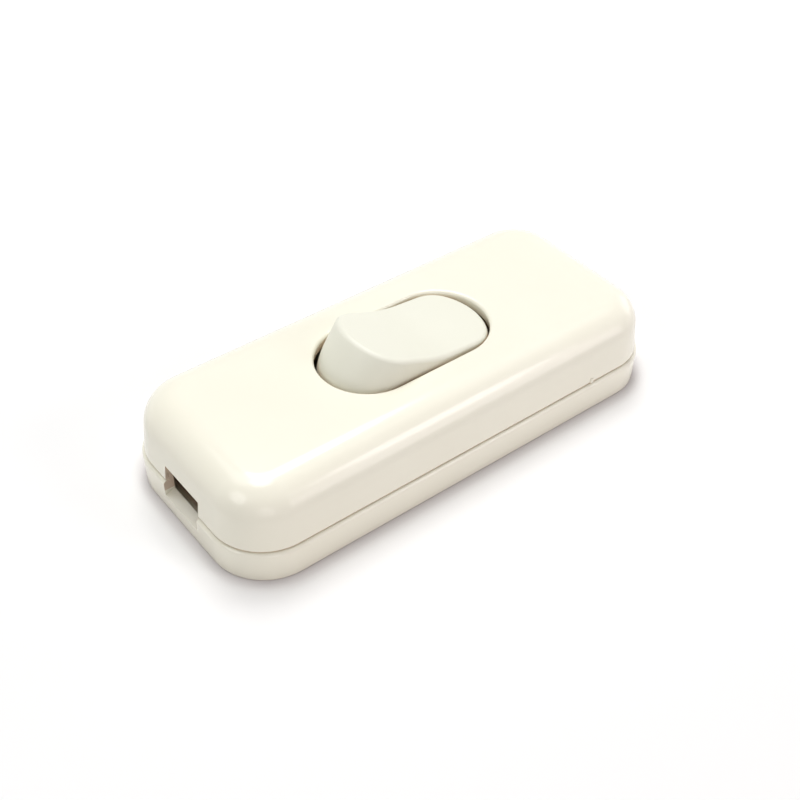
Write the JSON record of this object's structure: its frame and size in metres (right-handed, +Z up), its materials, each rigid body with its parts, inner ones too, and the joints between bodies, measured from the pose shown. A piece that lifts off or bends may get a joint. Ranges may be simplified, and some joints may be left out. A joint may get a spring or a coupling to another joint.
{
  "type": "inline cord switch",
  "caption": "Ivory plastic inline rocker switch for a flat lamp cord, with a rounded two-shell housing, a cord slot at each end, a tipped rocker and a see-saw contact inside",
  "frame": {"origin": "middle of the housing's underside", "axes": "+X along the cord, towards the end where the rocker is pressed down; +Z up, through the rocker"},
  "size_m": [0.062, 0.0272, 0.0156],
  "materials": {
    "ivory_shell": "moulded, soft gloss",
    "ivory_rocker": "moulded, satin",
    "plunger_plastic": "moulded",
    "clamp_plastic": "moulded",
    "spring_steel": "drawn wire",
    "brass": "stamped",
    "contact_silver": "silver contact",
    "screw_steel": "zinc plated"
  },
  "bodies": {
    "housing": {"upper_housing": "ivory_shell", "lower_housing": "ivory_shell", "fixed_contact": "contact_silver", "line_in_strip": "brass", "line_out_strip": "brass", "neutral_strip": "brass", "line_in_pillar": "brass", "line_out_pillar": "brass", "neutral_in_pillar": "brass", "neutral_out_pillar": "brass", "cord_clamp_left": "clamp_plastic", "cord_clamp_right": "clamp_plastic", "terminal_screws": "screw_steel", "clamp_screws": "screw_steel", "housing_screws": "screw_steel"},
    "rocker": {"rocker": "ivory_rocker", "plunger_spring": "spring_steel"},
    "plunger": {"plunger": "plunger_plastic"},
    "contact_bridge": {"contact_bridge": "brass", "bridge_contact": "contact_silver"}
  },
  "joints": [
    {"name": "rocker_pivot", "type": "hinge", "parent": "housing", "child": "rocker", "pos_m": [0, 0, 0.0064], "axis": [0, -1, 0], "range_deg": [0, 26]},
    {"name": "contact_pivot", "type": "hinge", "parent": "housing", "child": "contact_bridge", "pos_m": [0, 0, 0.0035], "axis": [0, 1, 0], "range_deg": [0, 14]},
    {"name": "plunger_slide", "type": "slide", "parent": "rocker", "child": "plunger", "axis": [0.225, 0, 0.9744], "range_m": [0, 0.0005], "stiffness_N_per_m": 400, "springref_m": -0.0004, "deforming": ["plunger_spring"]}
  ],
  "couplings": [
    {"joint": "contact_pivot", "follows": "rocker_pivot", "ratio": 0.53846}
  ]
}
